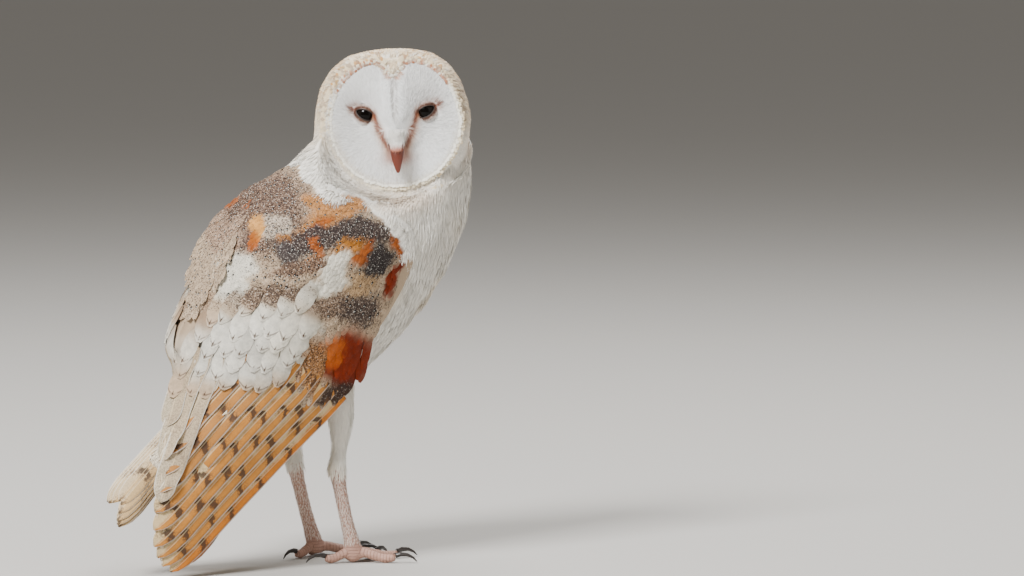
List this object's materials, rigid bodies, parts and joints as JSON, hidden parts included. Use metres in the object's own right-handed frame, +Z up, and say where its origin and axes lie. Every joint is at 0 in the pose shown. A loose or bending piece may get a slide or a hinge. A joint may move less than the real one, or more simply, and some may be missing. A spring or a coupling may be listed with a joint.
{
  "type": "barn owl",
  "caption": "Life-size standing barn owl with folded wings, head turned over its shoulder, heart-shaped face and long bare-toed legs.",
  "frame": {"origin": "centre of the bounding box's footprint, on the floor plane under the soles", "axes": "+Z up; the face looks along -Y; the body's breast points to +X and away from the viewer, turned 38 degrees from +X towards +Y; metres"},
  "size_m": [0.24, 0.1888, 0.3414],
  "materials": {
    "white_feather": "soft white feathers",
    "buff_feather": "cream to golden-buff feathers",
    "grey_feather": "grey feathers with fine spots and orange patches",
    "gold_feather": "golden-buff barred flight feathers",
    "bill": "pinkish horn",
    "eye": "wet glossy black-brown",
    "foot_skin": "scaled pinkish-brown skin",
    "claw": "dark horn"
  },
  "bodies": {
    "root": {"bill_lower": "bill", "bill_upper": "bill", "claw_left_hind": "claw", "claw_left_inner": "claw", "claw_left_middle": "claw", "claw_left_outer": "claw", "claw_right_hind": "claw", "claw_right_inner": "claw", "claw_right_middle": "claw", "claw_right_outer": "claw", "eye_left": "eye", "eye_right": "eye", "face_left": "white_feather", "face_ridge": "white_feather", "face_right": "white_feather", "head": "buff_feather", "neck": "white_feather", "ruff": "buff_feather", "tail": "buff_feather", "tail_coverts": "buff_feather", "tarsus_left": "foot_skin", "tarsus_right": "foot_skin", "thigh_left": "white_feather", "thigh_right": "white_feather", "toe_left_hind": "foot_skin", "toe_left_inner": "foot_skin", "toe_left_middle": "foot_skin", "toe_left_outer": "foot_skin", "toe_right_hind": "foot_skin", "toe_right_inner": "foot_skin", "toe_right_middle": "foot_skin", "toe_right_outer": "foot_skin", "trunk": "white_feather", "wing_left_coverts": "grey_feather", "wing_left_primaries": "gold_feather", "wing_left_secondaries": "buff_feather", "wing_right_coverts": "grey_feather", "wing_right_primaries": "gold_feather", "wing_right_secondaries": "buff_feather"}
  },
  "joints": []
}
